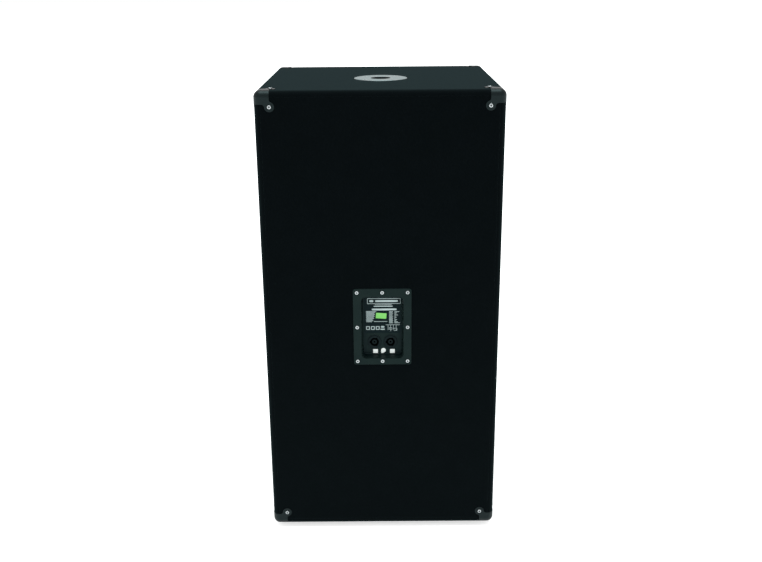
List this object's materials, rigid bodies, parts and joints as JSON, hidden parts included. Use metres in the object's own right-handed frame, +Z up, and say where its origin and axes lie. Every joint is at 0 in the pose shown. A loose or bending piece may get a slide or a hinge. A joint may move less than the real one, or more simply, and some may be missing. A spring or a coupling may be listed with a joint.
{
  "type": "pa speaker cabinet",
  "caption": "Tall felt-covered bass loudspeaker box with corner protectors, a pole socket on top, recessed rear sockets, side handles, feet and drivers behind a grille.",
  "frame": {"origin": "on the floor, under the middle of the object's box", "axes": "+Z up, -Y the grille side, +Y the socket side, +X to the right seen from the grille side"},
  "size_m": [0.5344, 0.5222, 1.0482],
  "materials": {
    "plywood": "bare birch plywood inside the box",
    "baffle_paint": "plywood painted matt black",
    "felt": "charcoal-black needle felt",
    "corner_plastic": "semi-gloss black moulded plastic with a fine grain",
    "screw_steel": "bright nickel-plated cross-head screws",
    "black_screw": "black oxide cross-head screws",
    "foot_rubber": "black rubber",
    "flange_metal": "satin silver-grey",
    "tube_steel": "steel painted matt black",
    "plate_plastic": "dark grey moulded plastic",
    "socket_plastic": "black moulded plastic",
    "gasket_foam": "closed-cell foam",
    "board_fibre": "hardboard",
    "coil_copper": "enamelled copper winding on a bobbin",
    "capacitor_film": "yellow film",
    "lead_jacket": "black sheath",
    "damping_felt": "grey wadding",
    "basket_metal": "black powder coat",
    "surround_rubber": "matt black",
    "cone_paper": "black pressed pulp",
    "coil_former": "former with copper winding",
    "spider_cloth": "resin-dipped cloth",
    "motor_steel": "zinc-plated steel",
    "magnet_ferrite": "dark grey ferrite",
    "port_plastic": "black moulded plastic",
    "grille_steel": "black powder coat",
    "handle_plastic": "black moulded plastic with a grained grip"
  },
  "bodies": {
    "cabinet": {"bottom_panel": "plywood", "carpet_rear": "felt", "carpet_wrap": "felt", "corner_front_lower_left": "corner_plastic", "corner_front_lower_right": "corner_plastic", "corner_front_upper_left": "corner_plastic", "corner_front_upper_right": "corner_plastic", "corner_rear_lower_left": "corner_plastic", "corner_rear_lower_right": "corner_plastic", "corner_rear_upper_left": "corner_plastic", "corner_rear_upper_right": "corner_plastic", "corner_screws": "screw_steel", "damping_pads": "damping_felt", "filter_board": "board_fibre", "filter_capacitors": "capacitor_film", "filter_coil": "coil_copper", "foot_screws": "screw_steel", "front_baffle": "baffle_paint", "grille": "grille_steel", "grille_blocks": "plywood", "grille_screws": "black_screw", "handle_left": "handle_plastic", "handle_right": "handle_plastic", "handle_screws": "black_screw", "pole_flange": "flange_metal", "pole_flange_screws": "screw_steel", "pole_tube": "tube_steel", "port_left": "port_plastic", "port_right": "port_plastic", "rear_panel": "plywood", "rubber_feet": "foot_rubber", "side_panel_left": "plywood", "side_panel_right": "plywood", "socket_input": "socket_plastic", "socket_link": "socket_plastic", "speaker_leads": "lead_jacket", "terminal_gasket": "gasket_foam", "terminal_plate": "plate_plastic", "terminal_screws": "screw_steel", "top_panel": "plywood", "window_brace": "plywood", "woofer_lower_back_plate": "motor_steel", "woofer_lower_basket": "basket_metal", "woofer_lower_magnet": "magnet_ferrite", "woofer_lower_spider": "spider_cloth", "woofer_lower_surround": "surround_rubber", "woofer_lower_top_plate": "motor_steel", "woofer_screws": "black_screw", "woofer_upper_back_plate": "motor_steel", "woofer_upper_basket": "basket_metal", "woofer_upper_magnet": "magnet_ferrite", "woofer_upper_spider": "spider_cloth", "woofer_upper_surround": "surround_rubber", "woofer_upper_top_plate": "motor_steel"},
    "upper_cone": {"woofer_upper_cone": "cone_paper", "woofer_upper_dust_cap": "cone_paper", "woofer_upper_voice_coil": "coil_former"},
    "lower_cone": {"woofer_lower_cone": "cone_paper", "woofer_lower_dust_cap": "cone_paper", "woofer_lower_voice_coil": "coil_former"}
  },
  "joints": [
    {"name": "upper_cone_travel", "type": "slide", "parent": "cabinet", "child": "upper_cone", "axis": [0, -1, 0], "range_m": [-0.007, 0.007], "stiffness_N_per_m": 6300, "deforming": ["woofer_upper_surround", "woofer_upper_spider"]},
    {"name": "lower_cone_travel", "type": "slide", "parent": "cabinet", "child": "lower_cone", "axis": [0, -1, 0], "range_m": [-0.007, 0.007], "stiffness_N_per_m": 6300, "deforming": ["woofer_lower_surround", "woofer_lower_spider"]}
  ]
}
